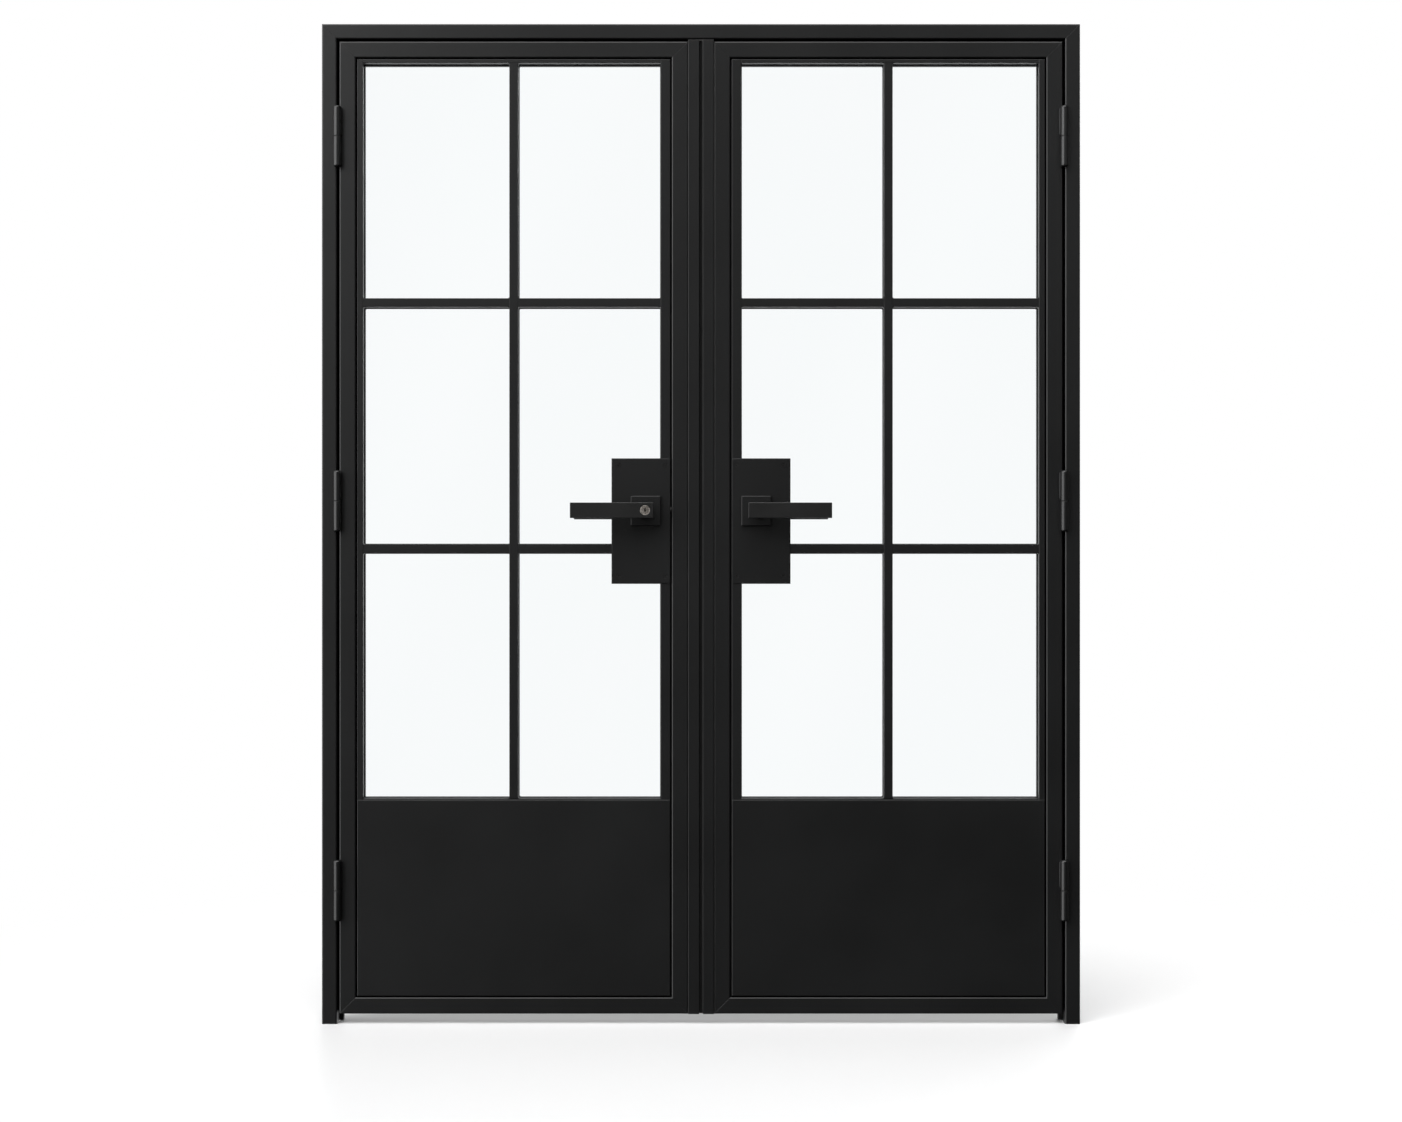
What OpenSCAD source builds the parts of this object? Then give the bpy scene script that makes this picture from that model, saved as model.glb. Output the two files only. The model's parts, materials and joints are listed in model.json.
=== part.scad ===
// A pair of glazed steel french doors in their own three-sided frame.
// X runs across the pair, Y from front (-) to back (+) and Z up from the floor.
// The origin is on the floor, midway between the jambs, at the leaves' mid-depth.

/* [Overall] */
// Width over the frame
frame_w = 1562; // [1300:2:1900]
// Height of the frame above the floor
frame_h = 2060; // [1720:5:2480]

/* [Frame] */
// Face width of the jambs and the header
frame_face = 31; // [26:1:50]
// How far the frame tubes reach behind the leaves' back face
frame_behind = 16; // [14:1:60]
// Wall of every square tube
tube_wall = 2; // [1.5:0.5:3]
// Outer corner radius of every square tube
tube_r = 3; // [2.5:0.5:5]
// How far the stops stand out from the frame's inner faces
stop_w = 7.5; // [6:0.5:12]
// Free space for the stop seal behind the leaves
stop_gap = 2; // [1.5:0.5:4]
// Radius of the wall fixing holes
fixing_r = 4.25; // [3:0.25:5.5]
// Distance between neighbouring fixing holes in a jamb
fixing_pitch = 560; // [400:10:560]
// Height of the middle of the jamb fixing holes
fixing_mid_z = 1030; // [900:10:1100]
// Distance between the two header fixing holes
header_fixing_pitch = 760; // [400:10:1000]
// Thickness of the plates that close the feet of the jambs
foot_plate_t = 3; // [2:0.5:6]

/* [Leaves] */
// Depth of the leaves front to back
leaf_depth = 44; // [40:1:60]
// Face width of the leaf tubes
leaf_tube_w = 34; // [28:1:50]
// Gap between a leaf and its jamb
side_gap = 5; // [4:0.5:7]
// Gap between the leaves and the header
top_gap = 5; // [4:0.5:10]
// Gap under the leaves
floor_gap = 21; // [6:1:30]
// Gap between the two leaves
meeting_gap = 7; // [6:0.5:8]
// Width of the meeting bars
astragal_w = 23; // [20:1:35]
// How far the meeting bars stand in front of the leaves
astragal_proud = 2; // [1:0.5:3]
// How far the meeting bars stand above the leaves
astragal_rise = 3; // [0:0.5:3]
// How much the meeting edges lean back over their depth
astragal_bevel = 2; // [2:0.25:3]
// Wall behind the meeting edge
astragal_edge_t = 6.5; // [6:0.5:9]

/* [Glazing] */
// Open groove between the leaf tubes and what they hold
reveal = 3; // [2:0.5:5]
// Width of the flat bar beside the hinge stile
flat_hinge_w = 12; // [8:0.5:25]
// Width of the flat bar beside the meeting stile
flat_meeting_w = 19.5; // [14:0.5:30]
// Width of the flat bar under the top rail
flat_top_w = 7.5; // [7:0.5:25]
// Face width of the glazing bars between the panes
muntin_w = 18; // [15:1:30]
// Height of the open part of the bottom panes
bottom_pane_h = 505; // [420:5:560]
// Height of the open part of the middle panes
middle_pane_h = 489; // [420:5:560]
// Thickness of the glass
glass_t = 6; // [4:1:8]
// How deep the glass sits in its grooves
glass_bite = 4; // [3:0.5:5]
// Rubber between the glass and its grooves
gasket_t = 1; // [0.5:0.25:1.5]
// How far the rubber shows past the bars
gasket_lip = 1.5; // [1:0.25:3]

/* [Kick panel] */
// Height of the kick panel
kick_h = 404; // [250:2:460]
// Thickness of the panel sheets
sheet_t = 1.5; // [1:0.25:2]
// How far the sill bar stands above the kick panel
sill_rise = 3; // [2:0.5:8]
// How deep the sill bar reaches into the kick panel
sill_depth = 22; // [12:1:40]

/* [Hinges] */
// Diameter of the hinge barrels
barrel_d = 16; // [14:1:22]
// Length of a whole hinge
barrel_l = 126; // [90:2:160]
// Height of the middle of the bottom hinge
hinge_low_z = 276; // [200:2:400]
// Height of the middle of the centre hinge
hinge_mid_z = 1077; // [700:1:1200]
// Distance from the frame's top to the middle of the top hinge
hinge_top_drop = 233; // [150:1:300]
// Diameter of the hinge pins
pin_d = 8; // [6:1:10]
// Thickness of the washers between the knuckles
washer_t = 1.5; // [1:0.5:3]

/* [Lock] */
// Width of the lock plates
plate_w = 120; // [110:1:160]
// Height of the lock plates
plate_h = 256.5; // [240:0.5:320]
// Thickness of the lock plates
plate_t = 2; // [1.5:0.5:4]
// Height of the spindle above the floor
spindle_z = 1057; // [950:1:1100]
// How far the lock plates reach below the spindle
plate_below = 149; // [100:1:170]
// Distance from the meeting edge to the spindle
backset = 110.3; // [95:0.1:120]
// Side of the square spindle
spindle_side = 8; // [7:1:9]
// Wall of the lock box
lock_box_wall = 8; // [7.5:0.5:12]
// Side of the square roses
rose_side = 61; // [50:1:75]
// Thickness of the roses
rose_t = 8; // [5:1:12]
// Radius of the latch housing
latch_housing_r = 11; // [9.5:0.5:13]
// Radius of the latch bolt
latch_r = 7; // [5:0.5:7.5]
// How far the latch nose stands out past the meeting edge
latch_out = 5.5; // [4:0.25:5.5]
// Height of the latch and strike plates
face_plate_h = 57; // [45:1:80]
// Depth of the latch and strike plates front to back
face_plate_d = 25; // [23:1:30]

/* [Levers] */
// Length of the lever bars
lever_l = 170; // [120:1:180]
// Height of the lever bars
lever_h = 31.5; // [28:0.5:40]
// Thickness of the lever bars
lever_t = 12; // [8:1:18]
// How far the levers stand out from the leaf faces
lever_projection = 60; // [50:1:75]
// How far a lever bar reaches past its spindle towards the meeting edge
lever_overhang = 17; // [15:1:30]
// Radius of the lever necks
neck_r = 13; // [12.5:0.5:14]
// Radius of the key cylinder
cylinder_r = 10; // [9:0.5:11]
// Radius of the turning key plug
plug_r = 7; // [5:0.5:8]
// Depth of the key cylinder
cylinder_l = 29; // [20:1:34]

/* [Bolts] */
// Diameter of the top and bottom bolts
bolt_d = 12; // [8:1:14]
// Length of each bolt
bolt_l = 232; // [200:1:300]
// Travel of the top bolt
top_bolt_travel = 20; // [15:1:25]
// Travel of the bottom bolt
bottom_bolt_travel = 35; // [22:1:40]
// Diameter of the bolt knobs
bolt_knob_d = 14; // [10:1:20]

/* [Hidden] */
$fn = 64;

// Clearances
running = 0.05;      // radial play of anything that turns or slides in a bore
fixed_play = 0.02;   // radial play of a pin in the bore that holds it
hole_play = 0.1;     // radial play of a piece in a plain hole
seal_play = 0.3;     // space between a rubber seal and what it meets
butt_play = 0.1;     // hairline where two bars of one set butt
eps = 1;             // how far a cutting tool runs past what it cuts

// Colours
black_coat = [0.10, 0.10, 0.11];
black_rubber = [0.05, 0.05, 0.05];
clear_glass = [0.80, 0.90, 0.92, 0.35];
plain_steel = [0.62, 0.63, 0.65];
nickel = [0.66, 0.64, 0.58];

// Places across the right half; the left half is its mirror image
half_w = frame_w / 2;
jamb_x = half_w - frame_face;
leaf_x1 = jamb_x - side_gap;
edge_x = meeting_gap / 2;
leaf_x0 = edge_x + astragal_w;
zone_x0 = leaf_x0 + leaf_tube_w + reveal;
zone_x1 = leaf_x1 - leaf_tube_w - reveal;
open_x0 = zone_x0 + flat_meeting_w;
open_x1 = zone_x1 - flat_hinge_w;
muntin_x = (leaf_x0 - astragal_w + leaf_x1 + astragal_w) / 2;
spindle_x = edge_x + backset;
bolt_x = leaf_x0 + leaf_tube_w / 2;

// Places up the leaf
header_z = frame_h - frame_face;
leaf_z0 = floor_gap;
leaf_z1 = header_z - top_gap;
zone_z0 = leaf_z0 + leaf_tube_w + reveal;
zone_z1 = leaf_z1 - leaf_tube_w - reveal;
kick_z1 = zone_z0 + kick_h;
open_z0 = kick_z1 + sill_rise;
open_z1 = zone_z1 - flat_top_w;
cross_z0 = open_z0 + bottom_pane_h;
cross_z1 = cross_z0 + muntin_w + middle_pane_h;
hinge_zs = [hinge_low_z, hinge_mid_z, frame_h - hinge_top_drop];

// Places front to back
face_y = leaf_depth / 2;
frame_back_y = face_y + frame_behind;
stop_y = face_y + stop_gap;
plate_y = face_y + plate_t;
rose_y = plate_y + rose_t;
lever_y = face_y + lever_projection;
fixing_y = (frame_back_y - face_y) / 2;
barrel_r = barrel_d / 2;
barrel_stand = 0.5;
axis_x = jamb_x - side_gap / 2;
axis_y = -(face_y + barrel_r + barrel_stand);

// Lock box and plates
plate_x1 = zone_x0 + plate_w;
plate_z0 = spindle_z - plate_below;
plate_z1 = plate_z0 + plate_h;
screw_r = 2;
screw_head_r = 4.25;
screw_l = 14;
screw_inset = 14.6;
screw_xs = [zone_x0 + flat_meeting_w / 2, plate_x1 - screw_inset];
screw_zs = [plate_z0 + screw_inset, plate_z1 - screw_inset];

// Glass grooves
groove_deep = glass_bite + gasket_t;
groove_half = glass_t / 2 + gasket_t;
rib_half = groove_half + 4;

// Latch: the face plates lie just under the leaning meeting edges
astragal_d = leaf_depth + astragal_proud;
face_plate_t = 2;
face_plate_x = edge_x + astragal_bevel
    * (face_plate_d / 2 + face_y + astragal_proud) / astragal_d + hole_play;
strike_gap_half = face_plate_h / 2 + 2;
hub_half = 13;
hub_gap = 0.6;
spindle_corner = spindle_side * sqrt(2) / 2;
latch_pull = latch_out + 1.5;
latch_tail_x = spindle_x - spindle_corner - hub_gap - latch_pull;

// Meeting seal
seal_y = -face_y + 8;
seal_w = 6;
seal_groove = 2;
seal_nose_x = -edge_x + 0.5;
seal_spans = [[leaf_z0, spindle_z - strike_gap_half],
              [spindle_z + strike_gap_half, leaf_z1 + astragal_rise]];

// Bolts
bolt_r = bolt_d / 2;
bolt_sunk = 2;
guide_h = 15;
knob_stem_r = 3;
knob_t = 10;
knob_stand = 1;

// ---- Shared shapes ----

// A block from its lowest to its highest corner
module block(low, high) {
    translate(low) cube(high - low);
}

// A flat outline in X and Z, carried from y0 to y1
module slab(points, y0, y1) {
    translate([0, y1, 0]) rotate([90, 0, 0]) linear_extrude(y1 - y0) polygon(points);
}

module rounded_rect(a, b, r) {
    square([a, b - 2 * r], center = true);
    square([a - 2 * r, b], center = true);
    for (sx = [-1, 1], sy = [-1, 1])
        translate([sx * (a / 2 - r), sy * (b / 2 - r)]) circle(r = r);
}

module tube_bore(a, b) {
    rounded_rect(a - 2 * tube_wall, b - 2 * tube_wall, tube_r - tube_wall);
}

module tube_section(a, b) {
    difference() {
        rounded_rect(a, b, tube_r);
        tube_bore(a, b);
    }
}

// Cylinders along X and Y, from one end to the other
module rod_x(r, x0, x1, y, z) {
    translate([x0, y, z]) rotate([0, 90, 0]) cylinder(r = r, h = x1 - x0);
}

module rod_y(r, y0, y1, x, z) {
    translate([x, y0, z]) rotate([-90, 0, 0]) cylinder(r = r, h = y1 - y0);
}

module rod_z(r, z0, z1, x, y) {
    translate([x, y, z0]) cylinder(r = r, h = z1 - z0);
}

// Puts what is drawn on the right on the side that is named
module on(side) {
    if (side == "left") mirror([1, 0, 0]) children();
    else children();
}

// Draws children at the front and, turned over, at the back
module both_faces() {
    children();
    mirror([0, 1, 0]) children();
}

// ---- Frame ----

module upright_tube(x0, x1, y0, y1, z0, z1) {
    translate([(x0 + x1) / 2, (y0 + y1) / 2, z0])
        linear_extrude(z1 - z0) tube_section(x1 - x0, y1 - y0);
}

module level_tube(x0, x1, y0, y1, z0, z1) {
    translate([x0, (y0 + y1) / 2, (z0 + z1) / 2])
        rotate([90, 0, 90]) linear_extrude(x1 - x0) tube_section(y1 - y0, z1 - z0);
}

module frame_jamb(side) {
    on(side) color(black_coat) difference() {
        intersection() {
            upright_tube(jamb_x, half_w, -face_y, frame_back_y, 0, frame_h);
            slab([[half_w, 0], [half_w, frame_h], [jamb_x, header_z], [jamb_x, 0]],
                 -face_y - eps, frame_back_y + eps);
        }
        for (i = [-1.5 : 1 : 1.5])
            rod_x(fixing_r, jamb_x - eps, half_w + eps, fixing_y,
                  fixing_mid_z + i * fixing_pitch);
    }
}

module frame_header() {
    color(black_coat) difference() {
        intersection() {
            level_tube(-half_w, half_w, -face_y, frame_back_y, header_z, frame_h);
            slab([[-half_w, frame_h], [half_w, frame_h], [jamb_x, header_z], [-jamb_x, header_z]],
                 -face_y - eps, frame_back_y + eps);
        }
        for (s = [-1, 1])
            rod_z(fixing_r, header_z - eps, frame_h + eps, s * header_fixing_pitch / 2, fixing_y);
        rod_z(bolt_r + 0.5, header_z - eps, header_z + tube_wall + eps, bolt_x, 0);
    }
}

module frame_stop(side) {
    on(side) color(black_coat)
        block([jamb_x - stop_w, stop_y, 0], [jamb_x, frame_back_y, header_z]);
}

module frame_stop_header() {
    color(black_coat)
        block([-jamb_x + stop_w, stop_y, header_z - stop_w], [jamb_x - stop_w, frame_back_y, header_z]);
}

// Rubber strips on the front faces of the three stops
module frame_seal() {
    color(black_rubber) {
        for (side = ["left", "right"]) on(side)
            block([jamb_x - stop_w, face_y + seal_play, 0], [jamb_x, stop_y, header_z]);
        block([-jamb_x + stop_w + butt_play, face_y + seal_play, header_z - stop_w],
              [jamb_x - stop_w - butt_play, stop_y, header_z]);
    }
}

module foot_plates() {
    color(black_coat) for (side = ["left", "right"]) on(side)
        translate([(jamb_x + half_w) / 2, (frame_back_y - face_y) / 2, 0])
            linear_extrude(foot_plate_t) tube_bore(frame_face, frame_back_y + face_y);
}

// ---- Hinges ----

// One knuckle standing on z = 0, with its outer end turned to a bevel
module knuckle(length, bore_r, bore_l) {
    bevel = 1;
    difference() {
        rotate_extrude() polygon([[0, 0], [barrel_r, 0], [barrel_r, length - bevel],
                                  [barrel_r - bevel, length], [0, length]]);
        translate([0, 0, -eps]) cylinder(r = bore_r, h = bore_l + eps);
    }
}

knuckle_l = (barrel_l - washer_t) / 2;
pin_reach = knuckle_l - 8;
web_inset = 0.2;

// The lower knuckles, welded to the jambs
module frame_hinge_knuckles() {
    color(black_coat) for (side = ["left", "right"], z = hinge_zs) on(side) difference() {
        union() {
            translate([axis_x, axis_y, z - washer_t / 2]) mirror([0, 0, 1])
                knuckle(knuckle_l, pin_d / 2 + fixed_play, pin_reach);
            block([jamb_x + web_inset, axis_y, z - washer_t / 2 - knuckle_l + 3],
                  [axis_x + barrel_r, -face_y, z - washer_t / 2 - 3]);
        }
        rod_z(pin_d / 2 + fixed_play, z - washer_t / 2 - pin_reach, z, axis_x, axis_y);
    }
}

// The upper knuckles, welded to the leaf
module leaf_hinge_knuckles(side) {
    color(black_coat) for (z = hinge_zs) on(side) difference() {
        union() {
            translate([axis_x, axis_y, z + washer_t / 2 + hole_play])
                knuckle(knuckle_l - hole_play, pin_d / 2 + running, pin_reach);
            block([axis_x - barrel_r, axis_y, z + washer_t / 2 + 3],
                  [leaf_x1 - web_inset, -face_y, z + washer_t / 2 + knuckle_l - 3]);
        }
        rod_z(pin_d / 2 + running, z, z + washer_t / 2 + hole_play + pin_reach, axis_x, axis_y);
    }
}

module hinge_pins() {
    color(plain_steel) for (side = ["left", "right"], z = hinge_zs) on(side)
        rod_z(pin_d / 2, z - washer_t / 2 - pin_reach, z + washer_t / 2 + pin_reach - 1, axis_x, axis_y);
}

module hinge_washers() {
    color(nickel) for (side = ["left", "right"], z = hinge_zs) on(side) difference() {
        rod_z(barrel_r, z - washer_t / 2, z + washer_t / 2, axis_x, axis_y);
        rod_z(pin_d / 2 + hole_play, z - washer_t, z + washer_t, axis_x, axis_y);
    }
}

// ---- Leaf tubes ----

module hinge_stile(side) {
    on(side) color(black_coat) intersection() {
        upright_tube(leaf_x1 - leaf_tube_w, leaf_x1, -face_y, face_y, leaf_z0, leaf_z1);
        slab([[leaf_x1, leaf_z0], [leaf_x1, leaf_z1],
              [leaf_x1 - leaf_tube_w, leaf_z1 - leaf_tube_w],
              [leaf_x1 - leaf_tube_w, leaf_z0 + leaf_tube_w]], -face_y - eps, face_y + eps);
    }
}

// The left stile is bored for the latch, the right one slotted for the bolt knobs
module meeting_stile(side) {
    on(side) color(black_coat) difference() {
        intersection() {
            upright_tube(leaf_x0, leaf_x0 + leaf_tube_w, -face_y, face_y, leaf_z0, leaf_z1);
            slab([[leaf_x0, leaf_z0], [leaf_x0, leaf_z1],
                  [leaf_x0 + leaf_tube_w, leaf_z1 - leaf_tube_w],
                  [leaf_x0 + leaf_tube_w, leaf_z0 + leaf_tube_w]], -face_y - eps, face_y + eps);
        }
        if (side == "left")
            rod_x(latch_housing_r + hole_play, leaf_x0 - eps, leaf_x0 + leaf_tube_w + eps, 0, spindle_z);
        if (side == "right") {
            knob_slot(top_knob_z, top_knob_z + top_bolt_travel);
            knob_slot(bottom_knob_z - bottom_bolt_travel, bottom_knob_z);
        }
    }
}

module knob_slot(z0, z1) {
    half = knob_stem_r + 0.5;
    block([bolt_x - half, face_y - tube_wall - eps, z0 - half],
          [bolt_x + half, face_y + eps, z1 + half]);
}

module top_rail(side) {
    on(side) color(black_coat) difference() {
        intersection() {
            level_tube(leaf_x0, leaf_x1, -face_y, face_y, leaf_z1 - leaf_tube_w, leaf_z1);
            slab([[leaf_x0, leaf_z1], [leaf_x1, leaf_z1],
                  [leaf_x1 - leaf_tube_w, leaf_z1 - leaf_tube_w],
                  [leaf_x0 + leaf_tube_w, leaf_z1 - leaf_tube_w]], -face_y - eps, face_y + eps);
        }
        if (side == "right")
            rod_z(bolt_r + hole_play, leaf_z1 - tube_wall - eps, leaf_z1 + eps, bolt_x, 0);
    }
}

module bottom_rail(side) {
    on(side) color(black_coat) difference() {
        intersection() {
            level_tube(leaf_x0, leaf_x1, -face_y, face_y, leaf_z0, leaf_z0 + leaf_tube_w);
            slab([[leaf_x0, leaf_z0], [leaf_x1, leaf_z0],
                  [leaf_x1 - leaf_tube_w, leaf_z0 + leaf_tube_w],
                  [leaf_x0 + leaf_tube_w, leaf_z0 + leaf_tube_w]], -face_y - eps, face_y + eps);
        }
        if (side == "right")
            rod_z(bolt_r + hole_play, leaf_z0 - eps, leaf_z0 + tube_wall + eps, bolt_x, 0);
    }
}

// A hollow bar along the meeting edge; the edge leans back so the leaves swing clear
module astragal(side) {
    front_y = -face_y - astragal_proud;
    cavity_x0 = edge_x + astragal_bevel + astragal_edge_t - 2;
    on(side) color(black_coat) difference() {
        translate([0, 0, leaf_z0]) linear_extrude(leaf_z1 + astragal_rise - leaf_z0)
            polygon([[edge_x, front_y], [leaf_x0, front_y], [leaf_x0, face_y],
                     [edge_x + astragal_bevel, face_y]]);
        block([cavity_x0, front_y + tube_wall, leaf_z0 + tube_wall],
              [leaf_x0 - tube_wall, face_y - tube_wall, leaf_z1 + astragal_rise - tube_wall]);
        block([edge_x - eps, -face_plate_d / 2 - hole_play, spindle_z - face_plate_h / 2 - hole_play],
              [face_plate_x + face_plate_t, face_plate_d / 2 + hole_play,
               spindle_z + face_plate_h / 2 + hole_play]);
        if (side == "left")
            rod_x(latch_housing_r + hole_play, edge_x, leaf_x0 + eps, 0, spindle_z);
        if (side == "right") {
            rod_x(latch_r + 1, edge_x, cavity_x0 + eps, 0, spindle_z);
            for (span = seal_spans) seal_channel(span[0], span[1]);
        }
    }
}

// ---- Kick panel ----

// A folded steel tray with a lip all round that meets the leaf tubes
module kick_panel(side) {
    on(side) color(black_coat) {
        difference() {
            block([zone_x0, -face_y, zone_z0], [zone_x1, 0, kick_z1]);
            block([zone_x0 + sheet_t, -face_y + sheet_t, zone_z0 + sheet_t],
                  [zone_x1 - sheet_t, eps, kick_z1 + eps]);
        }
        block([zone_x0 - reveal, -sheet_t, zone_z0 - reveal], [zone_x0, 0, kick_z1]);
        block([zone_x1, -sheet_t, zone_z0 - reveal], [zone_x1 + reveal, 0, kick_z1]);
        block([zone_x0, -sheet_t, zone_z0 - reveal], [zone_x1, 0, zone_z0]);
    }
}

// ---- Glazing bars and glass ----

// Uprights beside the stiles and level bars at the top and bottom of the glass,
// each with a groove for the glass and a rib that joins it to its tube
module glazing_bars(side) {
    on(side) color(black_coat) {
        difference() {
            union() {
                block([zone_x0, -face_y, kick_z1], [open_x0, face_y, zone_z1]);
                block([zone_x0 - reveal, -rib_half, kick_z1], [zone_x0, rib_half, zone_z1]);
            }
            block([open_x0 - groove_deep, -groove_half, kick_z1 - eps],
                  [open_x0 + eps, groove_half, zone_z1 + eps]);
            if (side == "left")
                rod_x(latch_housing_r + hole_play, zone_x0 - reveal - eps, open_x0 + eps, 0, spindle_z);
            plate_screw_holes();
        }
        difference() {
            union() {
                block([open_x1, -face_y, kick_z1], [zone_x1, face_y, zone_z1]);
                block([zone_x1, -rib_half, kick_z1], [zone_x1 + reveal, rib_half, zone_z1]);
            }
            block([open_x1 - eps, -groove_half, kick_z1 - eps],
                  [open_x1 + groove_deep, groove_half, zone_z1 + eps]);
        }
        difference() {
            union() {
                block([open_x0 + butt_play, -face_y, open_z1], [open_x1 - butt_play, face_y, zone_z1]);
                block([open_x0 + butt_play, -rib_half, zone_z1],
                      [open_x1 - butt_play, rib_half, zone_z1 + reveal]);
            }
            block([open_x0 - eps, -groove_half, open_z1 - eps],
                  [open_x1 + eps, groove_half, open_z1 + groove_deep]);
        }
        difference() {
            block([open_x0 + butt_play, -face_y + sheet_t, kick_z1 - sill_depth],
                  [open_x1 - butt_play, face_y - sheet_t, open_z0]);
            block([open_x0 - eps, -groove_half, open_z0 - groove_deep],
                  [open_x1 + eps, groove_half, open_z0 + eps]);
        }
    }
}

module muntin_upright(side) {
    on(side) color(black_coat) difference() {
        block([muntin_x - muntin_w / 2, -face_y, open_z0], [muntin_x + muntin_w / 2, face_y, open_z1]);
        for (s = [-1, 1])
            translate([muntin_x + s * muntin_w / 2, 0, 0])
                block([-groove_deep, -groove_half, open_z0 - eps], [groove_deep, groove_half, open_z1 + eps]);
    }
}

// A level bar between two uprights, grooved above and below
module cross_bar(x0, x1, z0) {
    difference() {
        block([x0, -face_y, z0], [x1, face_y, z0 + muntin_w]);
        for (z = [z0, z0 + muntin_w])
            block([x0 - eps, -groove_half, z - groove_deep], [x1 + eps, groove_half, z + groove_deep]);
    }
}

module muntins_cross(side) {
    on(side) color(black_coat) {
        cross_bar(plate_x1, muntin_x - muntin_w / 2, cross_z0);
        cross_bar(muntin_x + muntin_w / 2, open_x1, cross_z0);
        cross_bar(open_x0, muntin_x - muntin_w / 2, cross_z1);
        cross_bar(muntin_x + muntin_w / 2, open_x1, cross_z1);
    }
}

// Outlines of the six openings in X and Z, grown outwards by g on every side.
// The two beside the lock box are notched round it.
function rect_outline(x0, x1, z0, z1, g) =
    [[x0 - g, z0 - g], [x1 + g, z0 - g], [x1 + g, z1 + g], [x0 - g, z1 + g]];

function pane_outlines(g) = let (
    xa = muntin_x - muntin_w / 2,
    xb = muntin_x + muntin_w / 2,
    za = cross_z0 + muntin_w,
    zb = cross_z1 + muntin_w
) [
    [[open_x0 - g, open_z0 - g], [xa + g, open_z0 - g], [xa + g, cross_z0 + g],
     [plate_x1 - g, cross_z0 + g], [plate_x1 - g, plate_z0 + g], [open_x0 - g, plate_z0 + g]],
    [[plate_x1 - g, za - g], [xa + g, za - g], [xa + g, cross_z1 + g],
     [open_x0 - g, cross_z1 + g], [open_x0 - g, plate_z1 - g], [plate_x1 - g, plate_z1 - g]],
    rect_outline(open_x0, xa, zb, open_z1, g),
    rect_outline(xb, open_x1, open_z0, cross_z0, g),
    rect_outline(xb, open_x1, za, cross_z1, g),
    rect_outline(xb, open_x1, zb, open_z1, g)
];

module glass(side) {
    on(side) color(clear_glass) for (outline = pane_outlines(glass_bite))
        slab(outline, -glass_t / 2, glass_t / 2);
}

module glazing_gaskets(side) {
    outer = pane_outlines(groove_deep);
    pane = pane_outlines(glass_bite);
    inner = pane_outlines(-gasket_lip);
    on(side) color(black_rubber) for (i = [0 : len(outer) - 1]) difference() {
        slab(outer[i], -groove_half, groove_half);
        slab(pane[i], -glass_t / 2, glass_t / 2);
        slab(inner[i], -groove_half - eps, groove_half + eps);
    }
}

// ---- Lock box, plates and roses ----

module plate_screw_holes() {
    both_faces() for (x = screw_xs, z = screw_zs)
        rod_y(screw_r + hole_play, -face_y - eps, -face_y + screw_l, x, z);
}

// A steel box between the meeting-side bar and the glass, with a screw block in each corner
module lock_box(side) {
    boss = 14;
    x1 = plate_x1 - lock_box_wall;
    z0 = plate_z0 + lock_box_wall;
    z1 = plate_z1 - lock_box_wall;
    on(side) color(black_coat) difference() {
        block([open_x0, -face_y, plate_z0], [plate_x1, face_y, plate_z1]);
        difference() {
            block([open_x0 - eps, -face_y - eps, z0], [x1, face_y + eps, z1]);
            for (z = [z0, z1])
                block([x1 - boss, -face_y, z - boss], [x1 + eps, face_y, z + boss]);
        }
        difference() {
            block([open_x0 - eps, -groove_half, plate_z0 - eps],
                  [plate_x1 + eps, groove_half, plate_z1 + eps]);
            block([open_x0 - 2 * eps, -groove_half - eps, plate_z0 + groove_deep],
                  [plate_x1 - groove_deep, groove_half + eps, plate_z1 - groove_deep]);
        }
        plate_screw_holes();
    }
}

module lock_plates(side) {
    on(side) color(black_coat) both_faces() difference() {
        block([zone_x0, -plate_y, plate_z0], [plate_x1, -face_y, plate_z1]);
        rod_y(spindle_corner + 0.5, -plate_y - eps, -face_y + eps, spindle_x, spindle_z);
        for (x = screw_xs, z = screw_zs) translate([x, 0, z]) screw_form(hole_play / 2, -eps);
    }
}

// A countersunk screw along Y with its head flush with the plate, grown by g all round
module screw_form(g, head_cut) {
    translate([0, -plate_y, 0]) rotate([-90, 0, 0]) rotate_extrude()
        polygon([[0, head_cut], [screw_head_r + g, head_cut], [screw_head_r + g, 0.3],
                 [screw_r + g, plate_t], [screw_r + g, plate_t + screw_l - 1], [0, plate_t + screw_l - 1]]);
}

module plate_screws(side) {
    socket_w = 4;
    on(side) color(black_coat) both_faces() for (x = screw_xs, z = screw_zs)
        translate([x, 0, z]) difference() {
            screw_form(0, 0);
            translate([0, -plate_y - eps, 0]) rotate([-90, 0, 0])
                cylinder(d = socket_w, h = 1.2 + eps, $fn = 6);
        }
}

module roses(side) {
    on(side) color(black_coat) both_faces() difference() {
        translate([spindle_x, -plate_y, spindle_z]) rotate([90, 0, 0])
            linear_extrude(rose_t) rounded_rect(rose_side, rose_side, 1);
        rod_y(neck_r + running, -rose_y - eps, -plate_y + eps, spindle_x, spindle_z);
    }
}

// ---- Levers ----

spindle_end_y = lever_y - cylinder_l - 4;
neck_end_y = plate_y + seal_play;

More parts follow.
